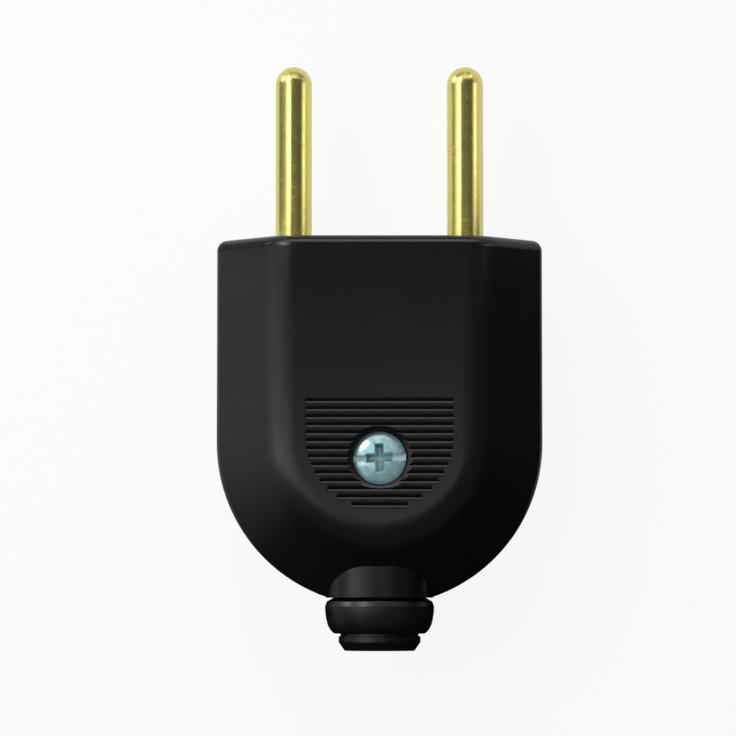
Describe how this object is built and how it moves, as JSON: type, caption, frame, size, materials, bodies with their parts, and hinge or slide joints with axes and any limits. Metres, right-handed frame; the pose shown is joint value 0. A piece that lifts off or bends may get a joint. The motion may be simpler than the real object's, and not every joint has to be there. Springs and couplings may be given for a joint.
{
  "type": "two-pin plug",
  "caption": "Rewirable mains plug with round brass pins, a bevelled black two-half body with grip grooves, a recessed body screw and a ringed cord bush.",
  "frame": {"origin": "middle of the engagement face between the pins, on the parting plane of the two shells", "axes": "+Y along the pins towards their tips, +X across the pins, +Z out of the front shell; the plug lies on the flat of its rear shell"},
  "size_m": [0.0358, 0.0646, 0.017],
  "materials": {
    "shell": "fine moulded satin, black",
    "pins": "turned and lightly brushed brass",
    "fasteners": "bluish zinc plating",
    "bush": "smooth moulded, black"
  },
  "bodies": {
    "root": {"front_shell": "shell", "rear_shell": "shell", "pin_left": "pins", "pin_right": "pins", "terminal_screw_left": "fasteners", "terminal_screw_right": "fasteners", "body_screw": "fasteners", "body_nut": "fasteners", "cord_clamp": "shell", "clamp_screw_left": "fasteners", "clamp_screw_right": "fasteners", "cord_bush": "bush"}
  },
  "joints": []
}
